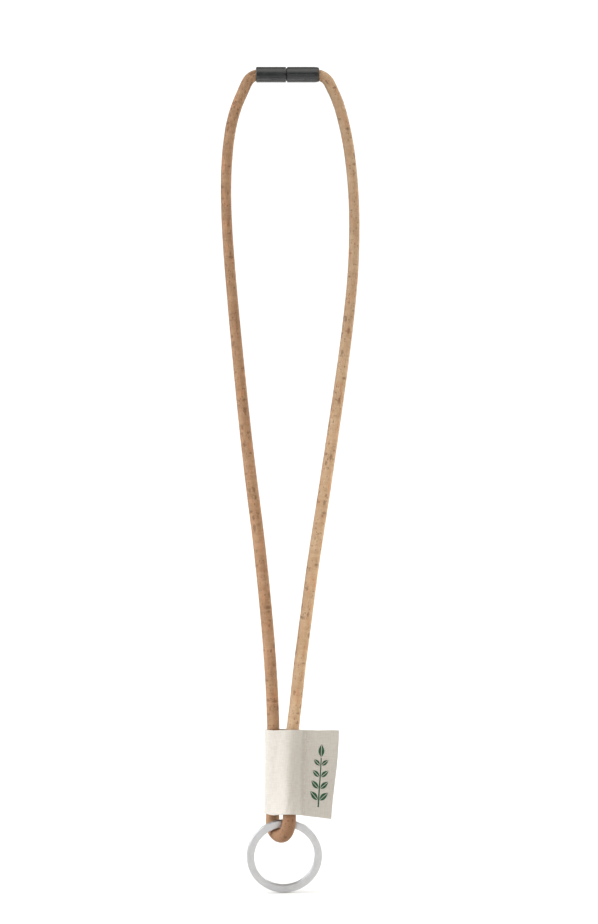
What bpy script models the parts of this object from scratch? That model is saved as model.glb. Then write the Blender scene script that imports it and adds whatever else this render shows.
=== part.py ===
"""Neck lanyard: a loop of round cork cord, closed at the top by a two-part safety clasp.

The cord's two strands run down through a folded canvas label, and its bight carries a split
ring. The lanyard hangs in the XZ plane, with +X to the right and the label's printed face
towards -Y. The origin is the middle of the clasp's underside, where the loop hangs.
Running this file builds the whole object, one mesh or curve object for each piece.
"""

from math import cos, pi, radians, sin

import bmesh
import bpy
import numpy as np
from mathutils import Matrix, Vector

MM = 0.001
GAP = 0.3 * MM  # left between pieces that touch

# Clasp: two turned halves on one axis along X.
CLASP_RADIUS = 3.1 * MM
CLASP_HALF_SPAN = 12.6 * MM  # from the middle to the mouth where a cord goes in
CLASP_SPLIT = -0.4 * MM  # x of the joint line between the halves
CLASP_AXIS_Z = CLASP_RADIUS
CORD_BORE_RADIUS = 2.6 * MM
CORD_BORE_FLOOR = 8.1 * MM  # distance of the cord bore's floor from the middle
STEM_RADIUS = 1.7 * MM
STEM_BEAD_RADIUS = 1.95 * MM
STEM_LENGTH = 5.6 * MM
STEM_SLOT = (0.7 * MM, 4.4 * MM)  # width, length of the slot that lets the stem flex
SNAP_BORE_RADIUS = 2.2 * MM
SNAP_GROOVE_RADIUS = 2.5 * MM
TURNED_STEPS = 36

# Cord: cork wrapped round a cotton core. Its outer radius changes slowly with height.
CORK_THICKNESS = 0.75 * MM
CORD_RADIUS_AT = [(-400, 2.47), (-167, 2.45), (-143, 2.36), (-84, 2.15), (-47, 2.08),
                  (-15, 2.18), (0, 2.2), (10, 2.2)]  # height, radius, in mm
LONGEST_SEGMENT = 11.5 * MM
TURN_PER_SEGMENT = radians(15)

# The route of each stretch of cord, from its glued end inside the clasp, in mm.
LEFT_ROUTE = [
    (-8.4, 0, 3.1), (-10.8, 0, 3.1), (-12.6, 0, 2.9), (-14.2, 0, 2.2),
    (-15.5, 0, 1.05), (-17.0, 0, -1.7), (-19.2, 0, -6.6), (-21.7, 0, -13.8),
    (-23.5, 0, -23.4),
    (-24.6, 0, -41.4), (-24.1, 0, -59.4), (-22.3, 0, -83.4), (-20.1, 0, -107.4),
    (-17.7, 0, -131.4), (-15.0, 0, -155.4), (-12.0, 0, -179.4), (-9.4, 0.2, -203.4),
    (-7.3, 0.7, -227.4), (-6.1, 1.3, -247.4), (-5.7, 1.7, -260.0), (-5.7, 2.4, -278.0),
    (-5.85, 4.1, -290.0), (-6.05, 5.2, -295.0), (-5.8, 4.7, -298.6), (-3.0, 0.3, -301.35),
    (-0.2, -4.3, -298.9), (0.65, -5.1, -295.0), (0.75, -4.1, -290.0), (1.0, -2.4, -278.0),
    (1.9, -1.7, -260.0), (2.47, -1.53, -254.9),
]
RIGHT_ROUTE = [
    (8.4, 0, 3.1), (10.8, 0, 3.1), (12.6, 0, 2.9), (14.3, 0, 2.2),
    (15.8, 0, 1.0), (17.4, 0, -1.7), (19.7, 0, -6.8), (22.1, 0, -14.6),
    (24.0, 0, -23.4),
    (25.6, 0, -35.4), (26.6, 0, -50.0), (26.7, 0, -60.5), (26.3, 0, -73.4),
    (24.3, 0, -95.4), (21.2, 0, -119.4), (17.7, 0, -143.4), (14.1, 0, -167.4),
    (10.4, -0.1, -191.4), (7.2, -0.4, -215.4), (4.2, -0.9, -239.4), (2.9, -1.4, -251.4),
    (2.5, -1.52, -254.6),
]

# Label: one strip of canvas, folded round the strands and sewn to itself beside them.
LABEL_TOP = -259.2 * MM
LABEL_HEIGHT = 33.4 * MM
FLAP_DROPS = (0.4 * MM, 2.5 * MM)  # how much lower the flap's free corners hang, top and bottom
CANVAS = 0.5 * MM
SLEEVE_GAP = 0.5 * MM
LABEL_TRAVEL = 4 * MM
SEAM_TOP = Vector((5.9, -1.1)) * MM
SEAM_BOTTOM = Vector((5.2, -2.3)) * MM
FLAP_WIDTH = 14.8 * MM
FLAP_ANGLES = (radians(15), radians(36))  # how far the flap turns back, top and bottom
SLEEVE_POINTS = 30
FLAP_POINTS = 5
LABEL_ROWS = 10

# Seam: one row of lockstitch down the flap's root, a thread on each face.
THREAD_RADIUS = 0.2 * MM
SEAM_INSET = 1.3 * MM  # from the fold to the stitches
SEAM_END_MARGIN = 1.2 * MM

# Printed motif: a leafy sprig that runs up the flap.
PRINT_THICKNESS = 0.15 * MM
SPRIG_FOOT = (8.0 * MM, -288.8 * MM)  # distance along the flap, height
SPRIG_HEIGHT = 24.4 * MM
SPRIG_STEM = 0.7 * MM
SPRIG_PAIRS = 4
LEAF_LENGTH = 4.9 * MM
LEAF_WIDTH = 1.05 * MM  # from the middle rib to an edge
LEAF_BASE = 0.9 * MM  # width where it leaves the stem
LEAF_ANGLE = radians(50)

# Split ring: a flat wire wound twice, hanging in the cord's bight.
RING_OUTER_RADIUS = 15.1 * MM
RING_BAND = 2.95 * MM
RING_WIRE = 0.95 * MM
RING_PITCH = 1.07 * MM  # between the two turns
RING_CROSSOVER = radians(26)
RING_CROSSOVER_AT = radians(78)  # bearing of its middle, from the ring's right
RING_END_GAP = radians(1.6)
RING_STEP = radians(7.5)
RING_PIVOT = Vector((-1.1, 0, -296.3)) * MM  # middle of the band where the ring hangs
RING_LEAN = radians(11)  # foot of the ring away from the printed side
RING_YAW = radians(4)


def start_clean():
    for thing in list(bpy.data.objects):
        bpy.data.objects.remove(thing, do_unlink=True)


def collection(name):
    made = bpy.data.collections.new(name)
    bpy.context.scene.collection.children.link(made)
    return made


def material(name, colour, roughness, metallic=0.0):
    made = bpy.data.materials.new(name)
    made.use_nodes = True
    shader = made.node_tree.nodes["Principled BSDF"]
    shader.inputs["Base Color"].default_value = (*colour, 1.0)
    shader.inputs["Roughness"].default_value = roughness
    shader.inputs["Metallic"].default_value = metallic
    return made


def add_piece(name, data, finish, into):
    piece = bpy.data.objects.new(name, data)
    into.objects.link(piece)
    data.materials.append(finish)
    return piece


def mesh_from(build, name):
    """A new mesh filled by build(bm)."""
    bm = bmesh.new()
    build(bm)
    mesh = bpy.data.meshes.new(name)
    bm.to_mesh(mesh)
    bm.free()
    return mesh


# ---------------------------------------------------------------- cord


def smooth_curve(points, step=0.4 * MM):
    """A natural cubic spline through the points, read about every step."""
    p = np.array(points, float)
    t = np.concatenate([[0], np.cumsum(np.linalg.norm(np.diff(p, axis=0), axis=1))])
    h = np.diff(t)
    n = len(p)
    a = np.eye(n)
    b = np.zeros((n, 3))
    for i in range(1, n - 1):
        a[i, i - 1 : i + 2] = h[i - 1], 2 * (h[i - 1] + h[i]), h[i]
        b[i] = 6 * ((p[i + 1] - p[i]) / h[i] - (p[i] - p[i - 1]) / h[i - 1])
    bend = np.linalg.solve(a, b)
    at = np.linspace(0, t[-1], int(t[-1] / step) + 1)
    k = np.clip(np.searchsorted(t, at) - 1, 0, n - 2)
    u, v, w = (at - t[k])[:, None], (t[k + 1] - at)[:, None], h[k][:, None]
    return (bend[k] * v**3 + bend[k + 1] * u**3) / (6 * w) + (
        p[k] / w - bend[k] * w / 6
    ) * v + (p[k + 1] / w - bend[k + 1] * w / 6) * u


def thinned(line):
    """The line's points that a tube needs: close together only where it bends."""
    steps = np.diff(line, axis=0)
    lengths = np.linalg.norm(steps, axis=1)
    ways = steps / lengths[:, None]
    turns = np.arccos(np.clip((ways[1:] * ways[:-1]).sum(1), -1, 1))
    kept, run, turned = [line[0]], 0.0, 0.0
    for i in range(1, len(line) - 1):
        run += lengths[i - 1]
        turned += turns[i - 1]
        if run >= LONGEST_SEGMENT or turned >= TURN_PER_SEGMENT:
            kept.append(line[i])
            run, turned = 0.0, 0.0
    if np.linalg.norm(kept[-1] - line[-1]) < 1 * MM:
        kept.pop()
    return kept + [line[-1]]


def cord_radius(z):
    heights, radii = zip(*CORD_RADIUS_AT)
    return float(np.interp(z / MM, heights, radii)) * MM


def tube(name, line, inset, sides_resolution, finish, into):
    """A tube along the line, inset from the cord's outer surface."""
    curve = bpy.data.curves.new(name, "CURVE")
    curve.dimensions = "3D"
    curve.bevel_depth = 1.0
    curve.bevel_resolution = sides_resolution
    curve.use_fill_caps = True
    spline = curve.splines.new("POLY")
    points = thinned(line)
    spline.points.add(len(points) - 1)
    for point, place in zip(spline.points, points):
        point.co = (*place, 1.0)
        point.radius = cord_radius(place[2]) - inset
    return add_piece(name, curve, finish, into)


def sheath(name, line, finish, into):
    """The cork layer: the cord's outer surface with a wall on its inside, open at both ends."""
    piece = tube(name, line, 0.0, 3, finish, into)
    piece.data.use_fill_caps = False
    wall = piece.modifiers.new("cork_wall", "SOLIDIFY")
    wall.thickness = CORK_THICKNESS
    wall.offset = -1.0
    return piece


# ---------------------------------------------------------------- clasp


def turned(name, profile, finish, into):
    """A solid turned about the clasp's axis. The profile is (radius, x) from its right to left."""
    mesh = bpy.data.meshes.new(name)
    mesh.from_pydata(
        [(r, 0, x) for r, x in profile], [(i, i + 1) for i in range(len(profile) - 1)], []
    )
    piece = add_piece(name, mesh, finish, into)
    piece.rotation_euler = (0, pi / 2, 0)
    piece.location = (0, 0, CLASP_AXIS_Z)
    screw = piece.modifiers.new("turn", "SCREW")
    screw.angle = 2 * pi
    screw.steps = screw.render_steps = TURNED_STEPS
    screw.use_merge_vertices = True
    screw.merge_threshold = 0.00001
    screw.use_smooth_shade = True
    return piece


def mouth_profile(sign):
    """(radius, x) from the outer side to the cord bore's floor, at one end of the clasp."""
    end, floor = sign * CLASP_HALF_SPAN, sign * CORD_BORE_FLOOR
    inward = -sign * MM
    return [
        (CLASP_RADIUS, end + 1.6 * inward),
        (CLASP_RADIUS - 0.08 * MM, end + 0.7 * inward),
        (CLASP_RADIUS - 0.2 * MM, end),
        (CORD_BORE_RADIUS + 0.2 * MM, end),
        (CORD_BORE_RADIUS, end + 1.3 * inward),
        (CORD_BORE_RADIUS, floor),
        (0, floor),
    ]


def clasp_socket_half(finish, into):
    """The left half: a cord bore on its left and the snap bore, with its groove, on its right."""
    face = CLASP_SPLIT - GAP / 2
    groove = CLASP_SPLIT - STEM_LENGTH + 1.9 * MM
    profile = [
        (0, face - STEM_LENGTH - 0.7 * MM),
        (SNAP_BORE_RADIUS, face - STEM_LENGTH - 0.7 * MM),
        (SNAP_BORE_RADIUS, groove - 1.4 * MM),
        (SNAP_GROOVE_RADIUS, groove - 1.0 * MM),
        (SNAP_GROOVE_RADIUS, groove),
        (SNAP_BORE_RADIUS, groove + 0.4 * MM),
        (SNAP_BORE_RADIUS, face - 0.35 * MM),
        (SNAP_BORE_RADIUS + 0.25 * MM, face),
        (CLASP_RADIUS - 0.3 * MM, face),
        (CLASP_RADIUS, face - 0.35 * MM),
        *mouth_profile(-1),
    ]
    return turned("clasp_socket_half", profile, finish, into)


def clasp_plug_half(finish, into, cutters):
    """The right half: a slotted, beaded stem on its left and a cord bore on its right."""
    face = CLASP_SPLIT + GAP / 2
    tip = CLASP_SPLIT - STEM_LENGTH
    stem = [
        (CLASP_RADIUS, face + 0.35 * MM),
        (CLASP_RADIUS - 0.3 * MM, face),
        (STEM_RADIUS, face),
        (STEM_RADIUS, tip + 2.1 * MM),
        (STEM_BEAD_RADIUS, tip + 1.6 * MM),
        (STEM_BEAD_RADIUS, tip + 1.1 * MM),
        (STEM_RADIUS - 0.5 * MM, tip),
        (0, tip),
    ]
    outer = mouth_profile(1)
    piece = turned("clasp_plug_half", list(reversed(outer)) + stem, finish, into)
    width, length = STEM_SLOT
    bpy.ops.mesh.primitive_cube_add(size=1)
    slot = bpy.context.object
    slot.name = "stem_slot_cutter"
    slot.data.transform(Matrix.Diagonal((length + MM, width, 3 * CLASP_RADIUS, 1)))
    slot.location = (tip + (length - MM) / 2, 0, CLASP_AXIS_Z)
    slot.hide_render = True
    slot.display_type = "WIRE"
    for home in list(slot.users_collection):
        home.objects.unlink(slot)
    cutters.objects.link(slot)
    cut = piece.modifiers.new("stem_slot", "BOOLEAN")
    cut.operation = "DIFFERENCE"
    cut.solver = "EXACT"
    cut.object = slot
    return piece


# ---------------------------------------------------------------- label


def strand_at(line, z):
    """Centre (x, y) of a strand that runs steadily up or down, at a height."""
    order = np.argsort(line[:, 2])
    return np.array([np.interp(z, line[order, 2], line[order, k]) for k in (0, 1)])


def convex_outline(points):
    """The points' convex outline, anticlockwise."""
    points = sorted(map(tuple, points))

    def half(run):
        kept = []
        for p in run:
            while len(kept) > 1:
                (ax, ay), (bx, by) = kept[-2:]
                if (bx - ax) * (p[1] - ay) - (by - ay) * (p[0] - ax) > 0:
                    break
                kept.pop()
            kept.append(p)
        return kept[:-1]

    return half(points) + half(reversed(points))


def flap_frame(share):
    """Seam point, direction along the flap and its outward front normal, at a share of the height."""
    seam = SEAM_TOP.lerp(SEAM_BOTTOM, share)
    angle = FLAP_ANGLES[0] + share * (FLAP_ANGLES[1] - FLAP_ANGLES[0])
    return seam, Vector((cos(angle), sin(angle))), Vector((sin(angle), -cos(angle)))


def label_section(share, left, right):
    """The canvas strip's middle line at a share of the height: flap, round the strands, flap."""
    z = LABEL_TOP - share * LABEL_HEIGHT
    seam, along, front = flap_frame(share)
    apart = (CANVAS + GAP) / 2
    corner_front, corner_back = seam + apart * front, seam - apart * front
    room = cord_radius(z) + SLEEVE_GAP + CANVAS / 2
    crowd = [corner_front, corner_back]
    for strand in (left, right):
        for level in (z, z + LABEL_TRAVEL):
            centre = Vector(strand_at(strand, level))
            crowd += [centre + room * Vector((cos(a), sin(a)))
                      for a in np.linspace(0, 2 * pi, 60, endpoint=False)]
    outline = [Vector(p) for p in convex_outline(crowd)]
    first = min(range(len(outline)), key=lambda i: (outline[i] - corner_front).length)
    outline = outline[first:] + outline[:first]
    if (outline[1] - corner_back).length < (outline[-1] - corner_back).length:
        outline = [outline[0]] + outline[:0:-1]
    last = min(range(len(outline)), key=lambda i: (outline[i] - corner_back).length)
    wrap = np.array([tuple(p) for p in outline[: last + 1]])
    run = np.concatenate([[0], np.cumsum(np.linalg.norm(np.diff(wrap, axis=0), axis=1))])
    even = np.linspace(0, run[-1], SLEEVE_POINTS)
    sleeve = [Vector((np.interp(s, run, wrap[:, 0]), np.interp(s, run, wrap[:, 1])))
              for s in even]
    outward = [FLAP_WIDTH * (i + 1) / FLAP_POINTS for i in range(FLAP_POINTS)]
    ahead = [(corner_front + s * along, s) for s in reversed(outward)]
    behind = [(corner_back + s * along, s) for s in outward]
    rows = ahead + [(p, 0.0) for p in sleeve] + behind
    drop = FLAP_DROPS[0] + share * (FLAP_DROPS[1] - FLAP_DROPS[0])
    return [(p.x, p.y, z - drop * s / FLAP_WIDTH) for p, s in rows]


def label(left, right, finish, into):
    def build(bm):
        rows = [[bm.verts.new(p) for p in label_section(i / LABEL_ROWS, left, right)]
                for i in range(LABEL_ROWS + 1)]
        for upper, lower in zip(rows, rows[1:]):
            for i in range(len(upper) - 1):
                bm.faces.new((upper[i], upper[i + 1], lower[i + 1], lower[i]))

    piece = add_piece("canvas_label", mesh_from(build, "canvas_label"), finish, into)
    thickness = piece.modifiers.new("canvas", "SOLIDIFY")
    thickness.thickness = CANVAS
    thickness.offset = 0.0
    return piece


def on_flap(along_flap, z, lift):
    """The point of the flap at a distance from the seam and a height, lifted off its middle."""
    share = (LABEL_TOP - z) / LABEL_HEIGHT
    seam, along, front = flap_frame(share)
    place = seam + along_flap * along + lift * front
    return Vector((place.x, place.y, z))


def seam_thread(name, side, finish, into):
    """The thread on one face of the flap; side is 1 for the printed face and -1 for the back."""
    lift = (CANVAS + GAP) / 2 + CANVAS / 2 + GAP + THREAD_RADIUS
    curve = bpy.data.curves.new(name, "CURVE")
    curve.dimensions = "3D"
    curve.bevel_depth = THREAD_RADIUS
    curve.bevel_resolution = 2
    curve.use_fill_caps = True
    spline = curve.splines.new("POLY")
    heights = np.linspace(LABEL_TOP - SEAM_END_MARGIN,
                          LABEL_TOP - LABEL_HEIGHT + SEAM_END_MARGIN, LABEL_ROWS)
    spline.points.add(len(heights) - 1)
    for point, z in zip(spline.points, heights):
        point.co = (*on_flap(SEAM_INSET, z, side * lift), 1.0)
    return add_piece(name, curve, finish, into)


def leaf(root, angle, length, width):
    """One leaf's lower edge, tip and upper edge, from the stem out and back again."""
    ways = Vector((sin(angle), cos(angle)))
    across = Vector((cos(angle), -sin(angle)))
    shares = (0.25, 0.5, 0.75)
    bulge = [width * sin(pi * s**0.85) for s in shares]
    lower = [root + length * s * ways + b * across for s, b in zip(shares, bulge)]
    upper = [root + length * s * ways - b * across for s, b in zip(shares, bulge)]
    return lower + [root + length * ways] + upper[::-1]


def sprig_outline():
    """The motif's outline, as (distance across, height) round its stem."""
    half = SPRIG_STEM / 2
    side = [Vector((half, 0))]
    for pair in range(SPRIG_PAIRS):
        level = SPRIG_HEIGHT * (0.1 + 0.185 * pair)
        size = 1 - 0.1 * pair
        root = Vector((half, level + LEAF_BASE / 2))
        side.append(Vector((half, level)))
        side += leaf(root, LEAF_ANGLE, size * LEAF_LENGTH, size * LEAF_WIDTH)
        side.append(Vector((half, level + LEAF_BASE)))
    top = Vector((0, SPRIG_HEIGHT - LEAF_LENGTH))
    *blade, tip = leaf(top, 0.0, LEAF_LENGTH, LEAF_WIDTH)[:4]
    right = side + blade
    left = [Vector((-p.x, p.y)) for p in reversed(right)]
    return right + [tip] + left


def label_print(finish, into):
    """The motif as a thin plate that follows the flap's front face."""
    across, foot = SPRIG_FOOT
    curve = bpy.data.curves.new("sprig", "CURVE")
    curve.dimensions = "2D"
    curve.fill_mode = "BOTH"
    curve.extrude = PRINT_THICKNESS / 2
    spline = curve.splines.new("POLY")
    outline = sprig_outline()
    spline.points.add(len(outline) - 1)
    for point, place in zip(spline.points, outline):
        point.co = (place.x, place.y, 0, 1)
    spline.use_cyclic_u = True
    flat = bpy.data.objects.new("sprig", curve)
    into.objects.link(flat)
    evaluated = flat.evaluated_get(bpy.context.evaluated_depsgraph_get())
    mesh = bpy.data.meshes.new_from_object(evaluated)
    bpy.data.objects.remove(flat)
    lift = (CANVAS + GAP) / 2 + CANVAS / 2 + GAP + PRINT_THICKNESS / 2
    bm = bmesh.new()
    bm.from_mesh(mesh)
    bmesh.ops.remove_doubles(bm, verts=bm.verts, dist=0.00001)
    for vertex in bm.verts:
        x, y, z = vertex.co
        vertex.co = on_flap(across + x, foot + y, lift + z)
    bmesh.ops.recalc_face_normals(bm, faces=bm.faces)
    bm.to_mesh(mesh)
    bm.free()
    return add_piece("label_print", mesh, finish, into)


# ---------------------------------------------------------------- split ring


def ring_path():
    """The wire's middle line, with the ring's hanging point at the local origin."""
    middle = RING_OUTER_RADIUS - RING_BAND / 2
    full = 2 * pi
    last = 2 * full - RING_CROSSOVER - RING_END_GAP
    count = int((last - RING_END_GAP) / RING_STEP)
    places = []
    for run in np.linspace(RING_END_GAP, last, count + 1):
        share = np.clip((run - (full - RING_CROSSOVER)) / RING_CROSSOVER, 0, 1)
        layer = RING_PITCH * (0.5 - share * share * (3 - 2 * share))
        bearing = run + RING_CROSSOVER_AT + RING_CROSSOVER / 2
        places.append((middle * cos(bearing), middle * sin(bearing) - middle, layer))
    return places


def split_ring(finish, into, guides):
    wire = bpy.data.curves.new("split_ring", "CURVE")
    wire.dimensions = "3D"
    wire.twist_mode = "Z_UP"
    wire.use_fill_caps = True
    spline = wire.splines.new("POLY")
    places = ring_path()
    spline.points.add(len(places) - 1)
    for point, place in zip(spline.points, places):
        point.co = (*place, 1.0)
    section = bpy.data.curves.new("ring_wire_section", "CURVE")
    section.dimensions = "2D"
    outline = section.splines.new("POLY")
    w, h, cut = RING_BAND / 2, RING_WIRE / 2, 0.2 * MM
    corners = [(w, cut - h), (w - cut, -h), (cut - w, -h), (-w, cut - h),
               (-w, h - cut), (cut - w, h), (w - cut, h), (w, h - cut)]
    outline.points.add(len(corners) - 1)
    for point, (x, y) in zip(outline.points, corners):
        point.co = (x, y, 0, 1)
    outline.use_cyclic_u = True
    guide = bpy.data.objects.new("ring_wire_section", section)
    guide.hide_render = True
    guide.display_type = "WIRE"
    guides.objects.link(guide)
    wire.bevel_mode = "OBJECT"
    wire.bevel_object = guide
    piece = add_piece("split_ring", wire, finish, into)
    piece.location = RING_PIVOT
    piece.rotation_euler = (pi / 2 + RING_LEAN, 0, RING_YAW)
    return piece


def build():
    start_clean()
    parts, cutters = collection("lanyard"), collection("cutters")
    cork = material("cork", (0.44, 0.26, 0.15), 0.75)
    cotton = material("cotton_core", (0.8, 0.77, 0.7), 0.9)
    plastic = material("black_plastic", (0.06, 0.063, 0.066), 0.42)
    canvas = material("canvas", (0.78, 0.72, 0.64), 0.9)
    thread = material("thread", (0.82, 0.78, 0.7), 0.8)
    ink = material("green_ink", (0.02, 0.14, 0.06), 0.7)
    steel = material("steel", (0.72, 0.72, 0.73), 0.3, 1.0)

    left_line = smooth_curve(np.array(LEFT_ROUTE) * MM)
    right_line = smooth_curve(np.array(RIGHT_ROUTE) * MM)
    lowest = int(left_line[:, 2].argmin())

    clasp_socket_half(plastic, parts)
    clasp_plug_half(plastic, parts, cutters)
    sheath("cork_sheath_left", left_line, cork, parts)
    tube("cotton_core_left", left_line, CORK_THICKNESS + GAP, 2, cotton, parts)
    sheath("cork_sheath_right", right_line, cork, parts)
    tube("cotton_core_right", right_line, CORK_THICKNESS + GAP, 2, cotton, parts)
    upward = np.concatenate([left_line[lowest:], right_line[::-1]])
    label(left_line[: lowest + 1], upward, canvas, parts)
    seam_thread("seam_thread_front", 1, thread, parts)
    seam_thread("seam_thread_back", -1, thread, parts)
    label_print(ink, parts)
    split_ring(steel, parts, cutters)


build()
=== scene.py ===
"""Looks of the cork lanyard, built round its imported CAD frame.

The loop of cork cord, its two-part clasp, the folded canvas label with its seam and printed
sprig, and the split ring each get a detailed mesh and a procedural material. Every piece
stands for CAD nodes and moves with their body. Lengths are in metres, written as n * MM.
"""

from math import cos, pi, radians, sin

import bmesh
import bpy
import numpy as np
from mathutils import Matrix, Vector, noise


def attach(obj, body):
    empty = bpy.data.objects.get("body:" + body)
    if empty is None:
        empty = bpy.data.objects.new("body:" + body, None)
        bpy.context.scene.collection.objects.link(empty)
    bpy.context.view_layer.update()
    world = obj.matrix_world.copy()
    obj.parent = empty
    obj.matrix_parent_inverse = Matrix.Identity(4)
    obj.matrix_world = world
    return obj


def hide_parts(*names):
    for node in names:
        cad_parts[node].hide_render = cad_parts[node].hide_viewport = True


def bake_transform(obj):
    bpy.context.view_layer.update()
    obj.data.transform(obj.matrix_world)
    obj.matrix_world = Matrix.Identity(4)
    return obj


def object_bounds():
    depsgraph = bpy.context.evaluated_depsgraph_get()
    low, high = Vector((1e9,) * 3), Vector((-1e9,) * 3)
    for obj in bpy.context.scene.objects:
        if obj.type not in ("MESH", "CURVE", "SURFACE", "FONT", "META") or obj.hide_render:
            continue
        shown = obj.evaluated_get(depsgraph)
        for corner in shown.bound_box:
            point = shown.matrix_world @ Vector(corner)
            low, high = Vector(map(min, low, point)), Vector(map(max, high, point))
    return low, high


MM = 0.001

# Camera: straight on, level with a point a little above the middle of the object.
CAMERA_DISTANCE = 1200 * MM
CAMERA_OFFSET = Vector((3.5, 0, 7.4)) * MM  # from the middle of the object's box
VIEW_HEIGHT = 369.6 * MM  # what the picture takes in at the object, from top to bottom
SENSOR = 36.0  # in mm, along the picture's long side
FLAG_PLACE = (0, -450 * MM, 3 * MM)  # middle of a dark card that only reflections see
FLAG_SIZE = (900 * MM, 440 * MM)
WORLD_LIGHT = 0.4
STAGE_RADIUS = 12  # in metres, of the floor and the dome: clear of any camera that looks on
SUNS = (  # strength, spread, bearing and height in degrees, colour
    ("key", 3.4, 55, -78, 25, (0.96, 1.0, 1.05)),
    ("rim", 2.4, 60, 130, 14, (1, 1, 1)),
    ("top", 1.4, 60, 20, 62, (1.0, 0.98, 0.94)),
)

# The cord's route, repeated from the CAD source, in mm.
LEFT_ROUTE = [
    (-8.4, 0, 3.1), (-10.8, 0, 3.1), (-12.6, 0, 2.9), (-14.2, 0, 2.2),
    (-15.5, 0, 1.05), (-17.0, 0, -1.7), (-19.2, 0, -6.6), (-21.7, 0, -13.8),
    (-23.5, 0, -23.4),
    (-24.6, 0, -41.4), (-24.1, 0, -59.4), (-22.3, 0, -83.4), (-20.1, 0, -107.4),
    (-17.7, 0, -131.4), (-15.0, 0, -155.4), (-12.0, 0, -179.4), (-9.4, 0.2, -203.4),
    (-7.3, 0.7, -227.4), (-6.1, 1.3, -247.4), (-5.7, 1.7, -260.0), (-5.7, 2.4, -278.0),
    (-5.85, 4.1, -290.0), (-6.05, 5.2, -295.0), (-5.8, 4.7, -298.6), (-3.0, 0.3, -301.35),
    (-0.2, -4.3, -298.9), (0.65, -5.1, -295.0), (0.75, -4.1, -290.0), (1.0, -2.4, -278.0),
    (1.9, -1.7, -260.0), (2.47, -1.53, -254.9),
]
RIGHT_ROUTE = [
    (8.4, 0, 3.1), (10.8, 0, 3.1), (12.6, 0, 2.9), (14.3, 0, 2.2),
    (15.8, 0, 1.0), (17.4, 0, -1.7), (19.7, 0, -6.8), (22.1, 0, -14.6),
    (24.0, 0, -23.4),
    (25.6, 0, -35.4), (26.6, 0, -50.0), (26.7, 0, -60.5), (26.3, 0, -73.4),
    (24.3, 0, -95.4), (21.2, 0, -119.4), (17.7, 0, -143.4), (14.1, 0, -167.4),
    (10.4, -0.1, -191.4), (7.2, -0.4, -215.4), (4.2, -0.9, -239.4), (2.9, -1.4, -251.4),
    (2.5, -1.52, -254.6),
]
CORD_DIAMETER = 5 * MM
CORD_RADIUS_AT = [  # height, radius, in mm: the CAD's, but for 0.25 mm more round the bight
    (-400, 2.72), (-295, 2.72), (-288, 2.47), (-167, 2.45), (-143, 2.36),
    (-84, 2.15), (-47, 2.08), (-15, 2.18), (0, 2.2), (10, 2.2),
]
CORD_STEP = 0.5 * MM
CORD_SIDES = 44
CORD_JOIN = -267 * MM  # height, inside the label, where the two stretches of cord meet
LUMP_SIZE = 2.6 * MM
LUMP_HEIGHTS = (0.045 * MM, 0.02 * MM)  # of the wide lumps and of those about a third as wide
SEAM_GROOVE = (0.12 * MM, 0.3 * MM)  # depth, half width of the cork wrap's seam

# Dark specks in the cork: cells to the mm across and along, largest radius in cells, seed.
SPECKS = ((0.55, 0.3, 0.42, 7), (0.3, 0.55, 0.36, 43), (1.3, 1.0, 0.4, 19))

# Label, as in the CAD source: one strip folded round the strands and sewn to itself.
LABEL_TOP = -259.2 * MM
LABEL_HEIGHT = 33.4 * MM
FLAP_DROPS = (0.4 * MM, 2.5 * MM)
CANVAS = 0.5 * MM
THREAD_PITCH = 0.46  # in mm, of the canvas's weave
LAYER_GAP = 0.3 * MM
SLEEVE_GAP = 0.5 * MM
LABEL_TRAVEL = 4 * MM
SEAM_TOP = Vector((5.9, -1.1)) * MM
SEAM_BOTTOM = Vector((5.2, -2.3)) * MM
FLAP_WIDTH = 14.8 * MM
FLAP_ANGLES = (radians(15), radians(36))
LABEL_ROWS = 110
LABEL_COLUMNS = 230
SEAM_INSET = 1.3 * MM
OUTLINE_STEPS = 120  # points round each strand, for the sleeve's stretched outline
FLAP_STEPS = 40
FLAP_ROOT = 0.4 * MM  # how near the flaps come to the seam point, where the sleeve begins
SOFTENING = 26  # passes that round off the strip's corners
BULGE = 0.7 * MM  # how far the sleeve's front stands proud between the two strands
BULGE_LEFT = -8.4  # x in mm of its left end
BULGE_WIDTH = 14.1  # in mm at the label's top, and 1 mm less at its foot
FRONT_LIFT = 0.16  # how far the sleeve's front rides up, as a share of how far it stands out
FRONT_LEVEL = -2.5 * MM  # standing out is counted from this y
FLAP_WAVE = 0.45  # in mm, of the flap's free edge towards the front and back
FLAP_SPLAY = 0.16  # in mm, of the two layers apart at the free edge
SEAM_PINCH = (0.06, 0.7 * MM)  # depth in mm, half width, of the canvas drawn in by the stitches
CRUMPLE = (7 * MM, 0.16 * MM, 0.12 * MM)  # size, depth and height of the canvas's unevenness
VALLEY = (0.75 * MM, 1.8 * MM)  # depth, half width, of the hollow where the sleeve meets the flap
CREASES = (  # ends (x, height), depth and half width, in mm
    ((-3.6, -264.5), (-5.3, -275.5), 0.16, 0.9),
    ((-5.3, -275.5), (-2.6, -283.0), 0.1, 1.2),
    ((2.4, -284.0), (-0.2, -293.5), 0.24, 0.8),
)

# Stitches, in a row down each face of the flap's root.
STITCH_COUNT = 12
STITCH_PITCH = 2.65 * MM
STITCH_SPACE = 0.55 * MM  # between one stitch and the next
STITCH_RADIUS = 0.13 * MM
STITCH_START = 1.1 * MM  # below the label's top
STITCH_SIDES = 10

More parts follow.
